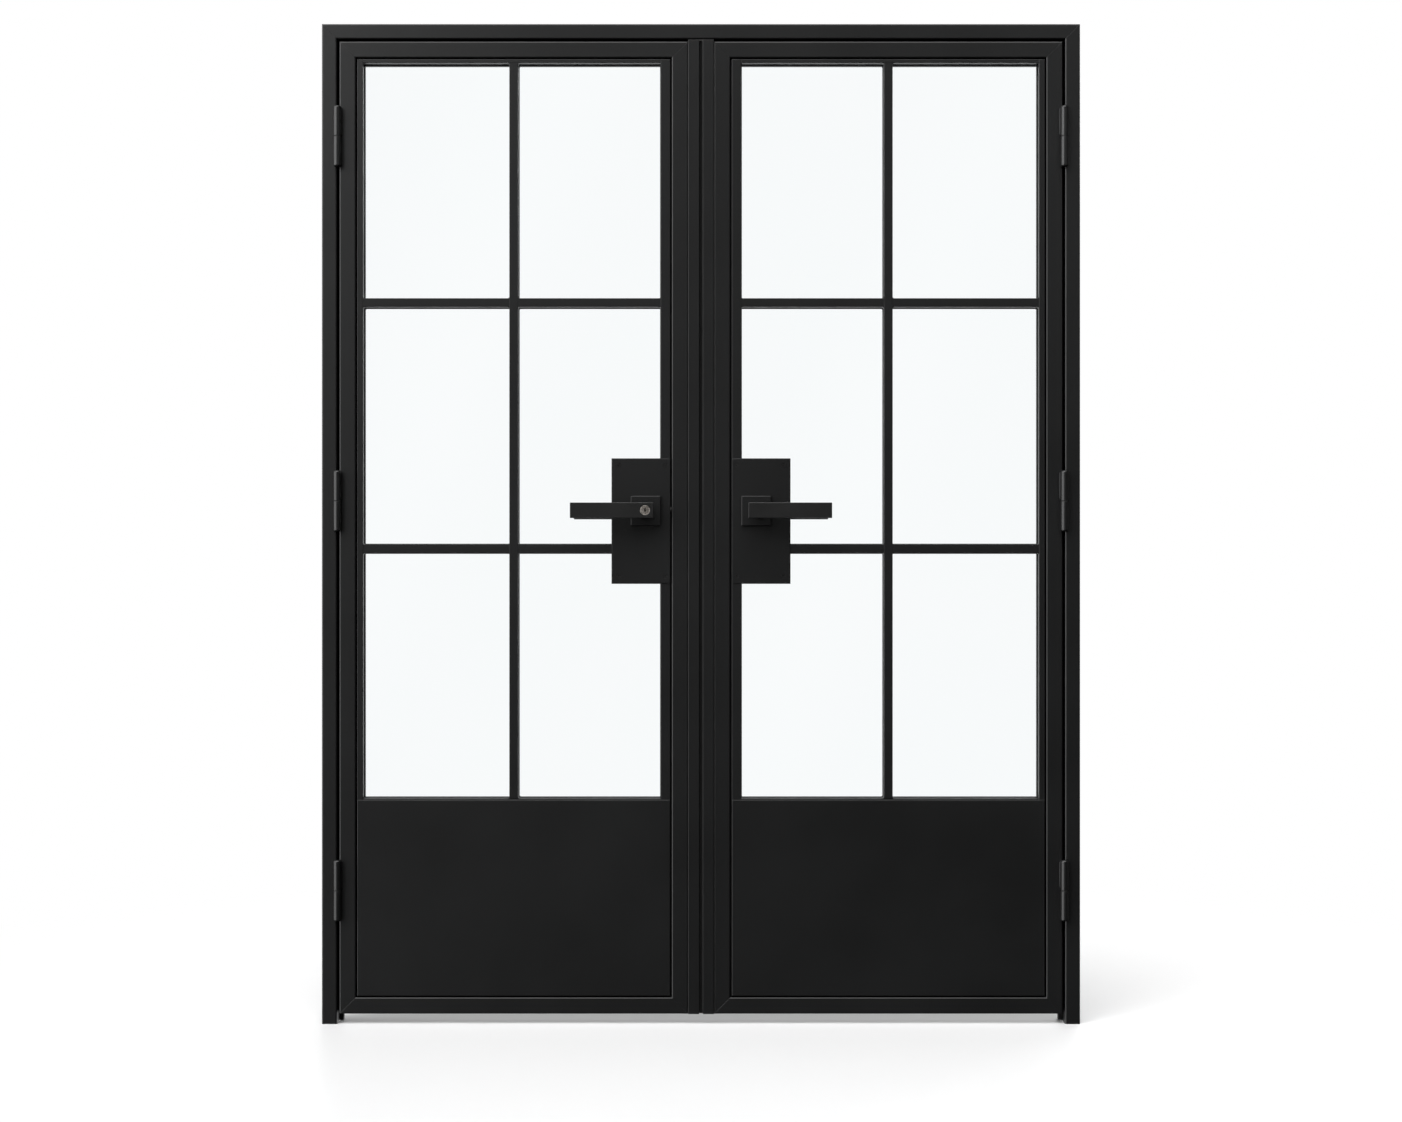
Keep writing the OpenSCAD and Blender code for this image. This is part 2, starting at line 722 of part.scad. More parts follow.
// A plain bar on a round neck. It has a square socket for the spindle if it turns.
module lever(turns) {
    color(black_coat) difference() {
        union() {
            translate([spindle_x - lever_overhang, -lever_y + lever_t / 2, spindle_z])
                rotate([90, 0, 90]) linear_extrude(lever_l) rounded_rect(lever_t, lever_h, 1);
            rod_y(neck_r, -lever_y + lever_t / 2, turns ? -neck_end_y : -plate_y, spindle_x, spindle_z);
        }
        if (turns) block([spindle_x - spindle_side / 2, -spindle_end_y, spindle_z - spindle_side / 2],
                         [spindle_x + spindle_side / 2, 0, spindle_z + spindle_side / 2]);
    }
}

module left_lever_front() {
    on("left") color(black_coat) difference() {
        lever(true);
        rod_y(cylinder_r + running, -lever_y - eps, -lever_y + cylinder_l, spindle_x, spindle_z);
    }
}

module left_lever_back() {
    on("left") mirror([0, 1, 0]) lever(true);
}

module right_lever_front() {
    lever(false);
}

module right_lever_back() {
    mirror([0, 1, 0]) lever(false);
}

module left_spindle() {
    on("left") color(plain_steel)
        block([spindle_x - spindle_side / 2, -spindle_end_y, spindle_z - spindle_side / 2],
              [spindle_x + spindle_side / 2, spindle_end_y, spindle_z + spindle_side / 2]);
}

module left_key_cylinder() {
    on("left") color(nickel) difference() {
        rod_y(cylinder_r, -lever_y, -lever_y + cylinder_l, spindle_x, spindle_z);
        rod_y(plug_r + running, -lever_y - eps, -lever_y + cylinder_l - 2, spindle_x, spindle_z);
    }
}

// The key plug, with a keyhole of a round top and a narrow slot
module left_key_plug() {
    keyhole_deep = 18;
    on("left") color(nickel) difference() {
        rod_y(plug_r, -lever_y, -lever_y + cylinder_l - 2 - seal_play, spindle_x, spindle_z);
        rod_y(1.9, -lever_y - eps, -lever_y + keyhole_deep, spindle_x, spindle_z + 2);
        block([spindle_x - 1, -lever_y - eps, spindle_z - 5],
              [spindle_x + 1, -lever_y + keyhole_deep, spindle_z + 2]);
    }
}

// ---- Latch and strike ----

// Housing from the meeting edge to the spindle, with its face plate
module left_latch_housing() {
    on("left") color(plain_steel) difference() {
        union() {
            block([face_plate_x, -face_plate_d / 2, spindle_z - face_plate_h / 2],
                  [face_plate_x + face_plate_t, face_plate_d / 2, spindle_z + face_plate_h / 2]);
            rod_x(latch_housing_r, face_plate_x, spindle_x, 0, spindle_z);
            block([spindle_x - hub_half, -latch_housing_r, spindle_z - hub_half],
                  [spindle_x + hub_half, latch_housing_r, spindle_z + hub_half]);
        }
        rod_x(latch_r + running, face_plate_x - eps, spindle_x, 0, spindle_z);
        rod_y(spindle_corner + 0.5, -latch_housing_r - eps, latch_housing_r + eps, spindle_x, spindle_z);
    }
}

// The latch bolt, with a slope on the side that meets the strike on closing
module left_latch_bolt() {
    nose_x = edge_x - latch_out;
    on("left") color(plain_steel) difference() {
        rod_x(latch_r, nose_x, latch_tail_x, 0, spindle_z);
        slope_cut(nose_x);
    }
}

module slope_cut(nose_x) {
    reach = latch_out + 1;
    translate([0, 0, spindle_z - latch_r - eps]) linear_extrude(2 * (latch_r + eps))
        polygon([[nose_x - eps, latch_r - reach - eps], [nose_x + reach, latch_r], [nose_x + reach, latch_r + eps],
                 [nose_x - eps, latch_r + eps]]);
}

module right_strike_plate() {
    color(plain_steel) difference() {
        block([face_plate_x, -face_plate_d / 2, spindle_z - face_plate_h / 2],
              [face_plate_x + face_plate_t, face_plate_d / 2, spindle_z + face_plate_h / 2]);
        rod_x(latch_r + 1, face_plate_x - eps, face_plate_x + face_plate_t + eps, 0, spindle_z);
    }
}

// ---- Meeting seal ----

// The groove in the right meeting edge that holds the seal
module seal_channel(z0, z1) {
    block([edge_x - eps, seal_y, z0],
          [edge_x + astragal_bevel + seal_groove, seal_y + seal_w, z1]);
}

// Two lengths of rubber, above and below the strike plate
module right_meeting_seal() {
    color(black_rubber)
        for (span = seal_spans) {
            block([seal_nose_x + seal_w / 2, seal_y, span[0]],
                  [edge_x + astragal_bevel + seal_groove, seal_y + seal_w, span[1]]);
            rod_z(seal_w / 2, span[0], span[1], seal_nose_x + seal_w / 2, seal_y + seal_w / 2);
        }
}

// ---- Bolts ----

top_bolt_z1 = leaf_z1 - bolt_sunk;
bottom_bolt_z0 = leaf_z0 + bolt_sunk;
top_knob_z = top_bolt_z1 - bolt_l / 2;
bottom_knob_z = bottom_bolt_z0 + bolt_l / 2;

module bolt(z0, knob_z) {
    color(plain_steel) {
        rod_z(bolt_r, z0, z0 + bolt_l, bolt_x, 0);
        rod_y(knob_stem_r, 0, face_y + knob_stand + knob_t / 2, bolt_x, knob_z);
        rod_y(bolt_knob_d / 2, face_y + knob_stand, face_y + knob_stand + knob_t, bolt_x, knob_z);
    }
}

module right_top_bolt() {
    bolt(top_bolt_z1 - bolt_l, top_knob_z);
}

module right_bottom_bolt() {
    bolt(bottom_bolt_z0, bottom_knob_z);
}

// Four blocks inside the right meeting stile that the bolts slide in
module right_bolt_guides() {
    near_end = leaf_tube_w + 20;
    far_end = bolt_l - 50;
    color(plain_steel) for (z = [leaf_z1 - near_end, leaf_z1 - far_end,
                                 leaf_z0 + near_end - guide_h, leaf_z0 + far_end - guide_h])
        difference() {
            translate([bolt_x, 0, z]) linear_extrude(guide_h)
                rounded_rect(leaf_tube_w - 2 * tube_wall, leaf_depth - 2 * tube_wall, tube_r);
            rod_z(bolt_r + running, z - eps, z + guide_h + eps, bolt_x, 0);
        }
}

// ---- One line per piece ----

frame_header();
frame_jamb("left");  // frame_jamb_left
frame_jamb("right");  // frame_jamb_right
frame_stop_header();
frame_stop("left");  // frame_stop_left
frame_stop("right");  // frame_stop_right
frame_seal();
foot_plates();
frame_hinge_knuckles();
hinge_pins();
hinge_washers();
hinge_stile("left");  // left_hinge_stile
meeting_stile("left");  // left_meeting_stile
top_rail("left");  // left_top_rail
bottom_rail("left");  // left_bottom_rail
astragal("left");  // left_astragal
kick_panel("left");  // left_kick_panel_front
mirror([0, 1, 0]) kick_panel("left");  // left_kick_panel_back
muntin_upright("left");  // left_muntin_upright
muntins_cross("left");  // left_muntins_cross
glazing_bars("left");  // left_glazing_bars
glass("left");  // left_glass
glazing_gaskets("left");  // left_glazing_gaskets
leaf_hinge_knuckles("left");  // left_hinge_knuckles
lock_box("left");  // left_lock_box
lock_plates("left");  // left_lock_plates
plate_screws("left");  // left_plate_screws
roses("left");  // left_roses
left_lever_front();
left_lever_back();
left_spindle();
left_latch_housing();
left_latch_bolt();
left_key_cylinder();
left_key_plug();
hinge_stile("right");  // right_hinge_stile
meeting_stile("right");  // right_meeting_stile
top_rail("right");  // right_top_rail
bottom_rail("right");  // right_bottom_rail
astragal("right");  // right_astragal
kick_panel("right");  // right_kick_panel_front
mirror([0, 1, 0]) kick_panel("right");  // right_kick_panel_back
muntin_upright("right");  // right_muntin_upright
muntins_cross("right");  // right_muntins_cross
glazing_bars("right");  // right_glazing_bars
glass("right");  // right_glass
glazing_gaskets("right");  // right_glazing_gaskets
leaf_hinge_knuckles("right");  // right_hinge_knuckles
lock_box("right");  // right_lock_box
lock_plates("right");  // right_lock_plates
plate_screws("right");  // right_plate_screws
roses("right");  // right_roses
right_lever_front();
right_lever_back();
right_strike_plate();
right_meeting_seal();
right_top_bolt();
right_bottom_bolt();
right_bolt_guides();
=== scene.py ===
# %% [markdown]
# # A pair of steel french doors
# The real pair is welded from square steel tube and flat bar, powder coated satin black, and glazed. This
# lesson loads the engineering model as a fixed frame, then gives each piece its true edges and finish.
# Everything is in metres: X runs across the doors, Y from front to back and Z up.

# %% Load the frame
import json
import math

import bmesh
import bpy
import numpy as np
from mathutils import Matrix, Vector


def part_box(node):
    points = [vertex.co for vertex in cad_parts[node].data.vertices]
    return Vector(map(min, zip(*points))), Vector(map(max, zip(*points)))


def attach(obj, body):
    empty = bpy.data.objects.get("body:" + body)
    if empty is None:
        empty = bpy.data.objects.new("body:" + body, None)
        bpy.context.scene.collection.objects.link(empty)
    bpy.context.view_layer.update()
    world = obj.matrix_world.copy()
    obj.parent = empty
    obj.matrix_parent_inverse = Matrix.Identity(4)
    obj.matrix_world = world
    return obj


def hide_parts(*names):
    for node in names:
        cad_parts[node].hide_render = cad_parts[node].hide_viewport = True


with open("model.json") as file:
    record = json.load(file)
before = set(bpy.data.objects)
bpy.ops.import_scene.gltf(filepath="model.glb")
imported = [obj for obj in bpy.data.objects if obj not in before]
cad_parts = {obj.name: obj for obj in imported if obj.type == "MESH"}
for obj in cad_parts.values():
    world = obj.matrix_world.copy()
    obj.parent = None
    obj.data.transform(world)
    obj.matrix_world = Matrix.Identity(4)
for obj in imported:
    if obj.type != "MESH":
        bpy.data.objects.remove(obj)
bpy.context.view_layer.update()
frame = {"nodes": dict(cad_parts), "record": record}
MM = 0.001

# %% [markdown]
# ## Camera and studio
# The doors are seen square on by a level camera 4.8 m away, with its eye a little under half their height.
# The lens is shifted up by a hair, which lowers the doors in the picture and keeps the uprights straight. A
# white room would wash black steel out to grey. So the room looks white only where it is seen directly or
# through the glass. What the steel reflects is a dim studio with one big soft box to the left, one above
# the front, and a faint one behind. The first two draw the fine bright line along each left and top edge,
# and leave the right and lower edges dark. The soft boxes could be glowing planes. Worked out from the
# direction of view, they need no objects and look the same from anywhere. Three lamps and a wide sun add
# the soft shadows.

# %% Camera
VIEW_DISTANCE = 4.8
EYE_HEIGHT = 0.952
LENS = 59.85
LENS_RISE = 0.0006

leaf_low, leaf_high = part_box("left_hinge_stile")
camera_data = bpy.data.cameras.new("camera")
camera_data.lens = LENS
camera_data.shift_y = LENS_RISE
camera = bpy.data.objects.new("camera", camera_data)
camera.location = (0, leaf_low.y - VIEW_DISTANCE, EYE_HEIGHT)
camera.rotation_euler = (math.radians(90), 0, 0)
bpy.context.scene.collection.objects.link(camera)
bpy.context.scene.camera = camera
bpy.context.scene.view_settings.view_transform = "Standard"


# %% A short way to wire nodes
def put(tree, kind, **settings):
    """Adds a node. A setting that names an input is put on that socket, and any other on the node itself."""
    node = tree.nodes.new(kind)
    for key, value in settings.items():
        name = key.replace("_", " ")
        sockets = {s.name.lower(): s for s in reversed(node.inputs)}
        if name.lower() in sockets:
            target = sockets[name.lower()]
            if isinstance(value, bpy.types.NodeSocket):
                tree.links.new(value, target)
            else:
                target.default_value = value
        else:
            setattr(node, key, value)
    return node


def mix_numbers(tree, factor, low, high):
    """A Mix node between two numbers or number sockets; gives its result socket."""
    node = tree.nodes.new("ShaderNodeMix")
    for socket, value in zip((node.inputs[0], node.inputs[2], node.inputs[3]), (factor, low, high)):
        if isinstance(value, bpy.types.NodeSocket):
            tree.links.new(value, socket)
        else:
            socket.default_value = value
    return node.outputs[0]


def mix_colours(tree, factor, low, high):
    """A Mix node between two colours or colour sockets; gives its result socket."""
    node = tree.nodes.new("ShaderNodeMix")
    node.data_type = "RGBA"
    for socket, value in zip((node.inputs[0], node.inputs[6], node.inputs[7]), (factor, low, high)):
        if isinstance(value, bpy.types.NodeSocket):
            tree.links.new(value, socket)
        else:
            socket.default_value = value
    return node.outputs[2]


# %% The room
SOFT_BOXES = (((-0.87, -0.44, 0.22), 0.72, 0.92, 4.4), ((-0.08, -0.52, 0.85), 0.83, 0.95, 4.8),
              ((0.45, 0.88, 0.15), 0.50, 0.95, 0.7))
DIM_LEVEL = 0.04

world = bpy.data.worlds.new("studio")
world.use_nodes = True
bpy.context.scene.world = world
tree = world.node_tree
tree.nodes.clear()
direction = put(tree, "ShaderNodeTexCoord").outputs["Generated"]


def towards(axis, start, full, level):
    """Light from around one axis: the level times a smooth step of the cosine of the angle to that axis."""
    cosine = put(tree, "ShaderNodeVectorMath", operation="DOT_PRODUCT")
    tree.links.new(direction, cosine.inputs[0])
    cosine.inputs[1].default_value = axis
    return put(tree, "ShaderNodeMapRange", interpolation_type="SMOOTHSTEP", Value=cosine.outputs["Value"],
               From_Min=start, From_Max=full, To_Min=0.0, To_Max=level).outputs[0]


def total(tree, numbers):
    """The sum of several number sockets."""
    result = numbers[0]
    for number in numbers[1:]:
        add = put(tree, "ShaderNodeMath", operation="ADD")
        tree.links.new(result, add.inputs[0])
        tree.links.new(number, add.inputs[1])
        result = add.outputs[0]
    return result


# Two slanting bands of light across the room, which the glass mirrors as faint streaks
slant = put(tree, "ShaderNodeVectorMath", operation="DOT_PRODUCT")
tree.links.new(direction, slant.inputs[0])
slant.inputs[1].default_value = (0.92, 0.0, -0.38)
bands = put(tree, "ShaderNodeValToRGB", Fac=put(tree, "ShaderNodeMapRange", Value=slant.outputs["Value"],
                                               From_Min=-1.0, From_Max=1.0).outputs[0])
ramp = bands.color_ramp
ramp.interpolation = "EASE"
ramp.elements[0].position, ramp.elements[1].position = 0.40, 1.0
ramp.elements[0].color = ramp.elements[1].color = (0, 0, 0, 1)
for place, level in ((0.435, 0.30), (0.455, 0.05), (0.50, 0.0), (0.525, 0.26), (0.545, 0.06), (0.58, 0.0)):
    ramp.elements.new(place).color = (level, level, level, 1)
reflected = total(tree, [towards(*box) for box in SOFT_BOXES] + [bands.outputs[0]])
lifted = put(tree, "ShaderNodeMath", operation="ADD")
tree.links.new(reflected, lifted.inputs[0])
lifted.inputs[1].default_value = DIM_LEVEL
path = put(tree, "ShaderNodeLightPath")
seen = put(tree, "ShaderNodeMath", operation="MAXIMUM")
tree.links.new(path.outputs["Is Camera Ray"], seen.inputs[0])
tree.links.new(path.outputs["Is Transmission Ray"], seen.inputs[1])
background = put(tree, "ShaderNodeBackground", Color=(1.0, 1.0, 1.0, 1.0),
                 Strength=mix_numbers(tree, seen.outputs[0], lifted.outputs[0], 1.0))
tree.links.new(background.outputs[0], put(tree, "ShaderNodeOutputWorld").inputs[0])


# %% Lamps
def area_lamp(name, place, target, size, power):
    """A square soft box at place, turned towards target."""
    data = bpy.data.lights.new(name, "AREA")
    data.shape, data.size, data.energy = "SQUARE", size, power
    lamp = bpy.data.objects.new(name, data)
    lamp.location = place
    aim = np.array(target) - np.array(place)
    lamp.rotation_euler = (math.acos(-aim[2] / np.linalg.norm(aim)), 0, math.atan2(-aim[0], aim[1]))
    bpy.context.scene.collection.objects.link(lamp)
    return lamp


area_lamp("key", (-2.6, -3.2, 3.4), (-0.4, 0.0, 1.5), 1.6, 40)
area_lamp("fill", (2.8, -3.4, 2.6), (0.5, 0.0, 1.2), 2.0, 10)
area_lamp("rear_key", (2.2, 3.4, 3.2), (0.2, 0.0, 1.3), 1.8, 60)

overhead = bpy.data.lights.new("overhead", "SUN")
overhead.energy, overhead.angle = 0.9, math.radians(50)
overhead_lamp = bpy.data.objects.new("overhead", overhead)
overhead_lamp.rotation_euler = (math.radians(4), math.radians(-4), 0)
bpy.context.scene.collection.objects.link(overhead_lamp)


# %% [markdown]
# ## Floor
# The doors stand on a pale seamless floor that runs into a white backdrop. Close to them it is a real
# surface that takes their soft shadow. Further out it fades into plain white light, so that no horizon
# shows behind the glass. A curved sheet would hide the horizon too, but a flat floor that fades is one face
# and has no bend to place.

# %% Floor
FLOOR_SIZE = 60.0
FLOOR_COLOUR = (0.67, 0.67, 0.672, 1)
FADE_FROM, FADE_TO = 1.0, 2.2

floor_mesh = bpy.data.meshes.new("floor")
corners = np.array([[-1, -1, 0], [1, -1, 0], [1, 1, 0], [-1, 1, 0]]) * FLOOR_SIZE
floor_mesh.from_pydata(corners.tolist(), [], [(0, 1, 2, 3)])
floor = bpy.data.objects.new("floor", floor_mesh)
bpy.context.scene.collection.objects.link(floor)
floor.visible_diffuse = floor.visible_glossy = False
floor_paint = bpy.data.materials.new("floor_paint")
floor_paint.use_nodes = True
tree = floor_paint.node_tree
floor_shader = tree.nodes["Principled BSDF"]
floor_shader.inputs["Base Color"].default_value = FLOOR_COLOUR
floor_shader.inputs["Roughness"].default_value = 0.35
away = put(tree, "ShaderNodeVectorMath", operation="LENGTH")
tree.links.new(put(tree, "ShaderNodeTexCoord").outputs["Object"], away.inputs[0])
fade = put(tree, "ShaderNodeMapRange", interpolation_type="SMOOTHSTEP", Value=away.outputs["Value"],
           From_Min=FADE_FROM, From_Max=FADE_TO)
glow = put(tree, "ShaderNodeEmission", Color=(1.0, 1.0, 1.0, 1.0))
joined = tree.nodes.new("ShaderNodeMixShader")
for socket, source in zip(joined.inputs, (fade.outputs[0], floor_shader.outputs[0], glow.outputs[0])):
    tree.links.new(source, socket)
tree.links.new(joined.outputs[0], tree.nodes["Material Output"].inputs["Surface"])
floor_mesh.materials.append(floor_paint)
print("floor: solid to", FADE_FROM, "m, white from", FADE_TO, "m")

# %% [markdown]
# ## Finishes
# Powder coat is a baked plastic skin. Close up it has a fine orange-peel grain, and from further off it is
# faintly cloudy, because the powder never lies quite evenly. One colour and one roughness would be simpler,
# but wide faces would then look dead. Both effects go into one node group, so that the coat, the rubber and
# the bare metal can each use it with their own values.


# %% The grain group
def grain_group():
    """Fine grain as a height that also spreads the roughness, and slow clouds that shift the colour, all on
    object coordinates.
    """
    group = bpy.data.node_groups.new("surface_grain", "ShaderNodeTree")
    face = group.interface
    for name, kind, value in (("Colour", "NodeSocketColor", (0.02, 0.02, 0.02, 1)),
                              ("Clouded colour", "NodeSocketColor", (0.03, 0.03, 0.03, 1)),
                              ("Roughness", "NodeSocketFloat", 0.45),
                              ("Roughness spread", "NodeSocketFloat", 0.08),
                              ("Grain per metre", "NodeSocketFloat", 700.0),
                              ("Clouds per metre", "NodeSocketFloat", 5.0),
                              ("Stretch", "NodeSocketVector", (1, 1, 1))):
        socket = face.new_socket(name, in_out="INPUT", socket_type=kind)
        socket.default_value = value
    for name, kind in (("Colour", "NodeSocketColor"), ("Roughness", "NodeSocketFloat"),
                       ("Height", "NodeSocketFloat")):
        face.new_socket(name, in_out="OUTPUT", socket_type=kind)
    given = put(group, "NodeGroupInput").outputs
    place = put(group, "ShaderNodeTexCoord").outputs["Object"]
    stretched = put(group, "ShaderNodeVectorMath", operation="MULTIPLY")
    group.links.new(place, stretched.inputs[0])
    group.links.new(given["Stretch"], stretched.inputs[1])
    grain = put(group, "ShaderNodeTexNoise", Vector=stretched.outputs[0], Scale=given["Grain per metre"],
                Detail=2.0, Roughness=0.55)
    clouds = put(group, "ShaderNodeTexNoise", Vector=place, Scale=given["Clouds per metre"],
                 Detail=4.0, Roughness=0.5)
    cloud = put(group, "ShaderNodeMapRange", Value=clouds.outputs["Fac"], From_Min=0.35,
                From_Max=0.65).outputs[0]
    spread = put(group, "ShaderNodeMath", operation="MULTIPLY_ADD")
    group.links.new(grain.outputs["Fac"], spread.inputs[0])
    group.links.new(given["Roughness spread"], spread.inputs[1])
    group.links.new(given["Roughness"], spread.inputs[2])
    result = put(group, "NodeGroupOutput")
    blend = mix_colours(group, cloud, given["Colour"], given["Clouded colour"])
    group.links.new(blend, result.inputs["Colour"])
    group.links.new(spread.outputs[0], result.inputs["Roughness"])
    group.links.new(grain.outputs["Fac"], result.inputs["Height"])
    return group


SURFACE_GRAIN = grain_group()


# %% Materials that use it
def grained(name, bump, depth, shader=(), **values):
    """A Principled material fed by the grain group; shader holds the values that are the same all over."""
    material = bpy.data.materials.new(name)
    material.use_nodes = True
    tree = material.node_tree
    bsdf = tree.nodes["Principled BSDF"]
    for socket, value in dict(shader).items():
        bsdf.inputs[socket].default_value = value
    grain = tree.nodes.new("ShaderNodeGroup")
    grain.node_tree = SURFACE_GRAIN
    for socket, value in values.items():
        grain.inputs[socket.replace("_", " ")].default_value = value
    tree.links.new(grain.outputs["Colour"], bsdf.inputs["Base Color"])
    tree.links.new(grain.outputs["Roughness"], bsdf.inputs["Roughness"])
    relief = put(tree, "ShaderNodeBump", Strength=bump, Distance=depth, Height=grain.outputs["Height"])
    tree.links.new(relief.outputs["Normal"], bsdf.inputs["Normal"])
    return material


def grey(level, warmth=0.0):
    """A near-neutral colour; warmth shifts it from blue to red."""
    return (level * (1 + warmth), level, level * (1 - warmth), 1)


COAT = grained("satin_black_coat", 0.25, 0.00012, {"Specular IOR Level": 0.4},
               Colour=grey(0.0030, -0.03), Clouded_colour=grey(0.0052, -0.03), Roughness=0.31,
               Roughness_spread=0.10, Grain_per_metre=750.0, Clouds_per_metre=4.0)
HARDWARE = grained("hardware_coat", 0.18, 0.00008, {"Specular IOR Level": 0.4},
                   Colour=grey(0.006), Clouded_colour=grey(0.009), Roughness=0.30,
                   Roughness_spread=0.10, Grain_per_metre=1100.0, Clouds_per_metre=14.0)
RUBBER = grained("seal_rubber", 0.3, 0.0001, {"Specular IOR Level": 0.3},
                 Colour=grey(0.006), Clouded_colour=grey(0.009), Roughness=0.72,
                 Roughness_spread=0.1, Grain_per_metre=900.0, Clouds_per_metre=20.0)
STEEL = grained("plated_steel", 0.2, 0.00004, {"Metallic": 1.0},
                Colour=grey(0.42, -0.02), Clouded_colour=grey(0.55), Roughness=0.26,
                Roughness_spread=0.16, Grain_per_metre=600.0, Clouds_per_metre=30.0, Stretch=(1, 1, 12))
NICKEL = grained("satin_nickel", 0.15, 0.00003, {"Metallic": 1.0},
                 Colour=grey(0.26, 0.10), Clouded_colour=grey(0.40, 0.08), Roughness=0.30,
                 Roughness_spread=0.14, Grain_per_metre=1400.0, Clouds_per_metre=60.0)


# %% Glass
def clear_glass():
    """Clear float glass with a trace of blue-green, and the faint unevenness of handling on its shine."""
    material = bpy.data.materials.new("clear_glass")
    material.use_nodes = True
    tree = material.node_tree
    bsdf = tree.nodes["Principled BSDF"]
    bsdf.inputs["Transmission Weight"].default_value = 1.0
    bsdf.inputs["IOR"].default_value = 1.46
    place = put(tree, "ShaderNodeTexCoord").outputs["Object"]
    haze = put(tree, "ShaderNodeTexNoise", Vector=place, Scale=3.0, Detail=2.0)
    tint = mix_colours(tree, haze.outputs["Fac"], (0.955, 0.985, 0.99, 1), (0.975, 0.99, 0.995, 1))
    tree.links.new(tint, bsdf.inputs["Base Color"])
    tree.links.new(mix_numbers(tree, haze.outputs["Fac"], 0.0, 0.012), bsdf.inputs["Roughness"])
    return material


GLASS = clear_glass()
FINISH = {"black_coat": COAT, "clear_glass": GLASS, "seal_rubber": RUBBER, "bare_steel": STEEL,
          "satin_nickel": NICKEL}
SLOT_OF = {row["node"]: row["material_slot"] for row in frame["record"]["subparts"]}
BODY_OF = {node: body for body, nodes in frame["record"]["behaviour"]["bodies"].items() for node in nodes}
for node, shown in frame["nodes"].items():
    shown.data.materials.clear()
    shown.data.materials.append(FINISH[SLOT_OF[node]])
print("finishes:", sorted(FINISH))

# %% [markdown]
# ## Eased edges on cut pieces
# No steel edge is knife sharp: sawn tube is deburred and the coat rounds it further, and that is what draws
# the fine bright line along it. A piece with cut-outs is easiest to start from its engineering shape: merge
# its loose triangles, then bevel every real edge by about half a millimetre. Two mitred tubes then meet in
# the shallow vee that shows as a hairline across a welded corner. Modelling each cut again would be exact
# too, but there are many cuts and the engineering shape already has them.


# %% Mesh helpers
def finish_mesh(piece, sharp=35):
    """Smooth shading that stays flat on flat faces: normals are weighted by the area of nearby faces."""
    mesh = piece.data
    mesh.polygons.foreach_set("use_smooth", np.ones(len(mesh.polygons), bool))
    mesh.set_sharp_from_angle(angle=math.radians(sharp))
    weigh = piece.modifiers.new("weigh", "WEIGHTED_NORMAL")
    weigh.keep_sharp = True
    weigh.weight = 100


def settle(piece, node, material=None):
    """Puts a finished piece in place of a CAD node, on its body and with its finish."""
    piece.data.materials.clear()
    piece.data.materials.append(material or FINISH[SLOT_OF[node]])
    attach(piece, BODY_OF[node])
    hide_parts(node)
    return piece


MERGE_WITHIN = 2e-6
REAL_EDGE = math.radians(40)


def eased(node, width=0.5 * MM, segments=3, material=None, flatten=True):
    """A merged copy of a CAD node with every edge sharper than 40 degrees rounded off. Flat faces are joined
    first, unless flatten is off: on a joined face, the bevel can close over a round hole."""
    mesh = frame["nodes"][node].data.copy()
    piece = bpy.data.objects.new(node + "_eased", mesh)
    bpy.context.scene.collection.objects.link(piece)
    work = bmesh.new()
    work.from_mesh(mesh)
    bmesh.ops.remove_doubles(work, verts=work.verts, dist=MERGE_WITHIN)
    if flatten:
        bmesh.ops.dissolve_limit(work, angle_limit=math.radians(0.5), verts=work.verts, edges=work.edges)
    work.to_mesh(mesh)
    work.free()
    bevel = piece.modifiers.new("ease", "BEVEL")
    bevel.width, bevel.segments = width, segments
    bevel.limit_method, bevel.angle_limit = "ANGLE", REAL_EDGE
    bevel.use_clamp_overlap = False
    finish_mesh(piece, sharp=60)
    return settle(piece, node, material)


# %% Tubes, meeting bars and glazing bars
SIDES = ("left", "right")
for node in ("frame_jamb_left", "frame_jamb_right"):
    eased(node)
eased("frame_header", flatten=False)
for side in SIDES:
    for part in ("hinge_stile", "meeting_stile", "top_rail", "bottom_rail"):
        eased(f"{side}_{part}")
    for part in ("astragal", "glazing_bars", "lock_box", "lock_plates"):
        eased(f"{side}_{part}", 0.7 * MM)
    eased(f"{side}_glazing_gaskets", 0.3 * MM, 2)

# %% [markdown]
# ## Bars worked out from their section
# Stops, muntins and roses are plain square bar. A plain bar could be a cube with a bevel, but a section
# carried from end to end gives clean quads and exact radii. The section is a rectangle with round corners,
# and it shrinks over the last fraction of a millimetre, so that the end is eased as well. A short filler
# bar closes each top corner, between the glazing bar and the rail, where light would show from above.


# %% Outlines and closed skins
def rounded(width, height, radius, steps=4):
    """Rectangles with round corners: each corner's centre plus radius times (cosine, sine) over its quarter
    turn. Width, height and radius are arrays with one value per outline."""
    turn = np.linspace(0, np.pi / 2, steps + 1) + np.arange(4)[:, None] * np.pi / 2
    way = np.stack([np.cos(turn), np.sin(turn)], -1)
    corner = np.array([[1, 1], [-1, 1], [-1, -1], [1, -1]])[:, None, :]
    half = np.stack([width / 2 - radius, height / 2 - radius], -1)[:, None, None, :]
    return (corner * half + radius[:, None, None, None] * way).reshape(len(radius), -1, 2)


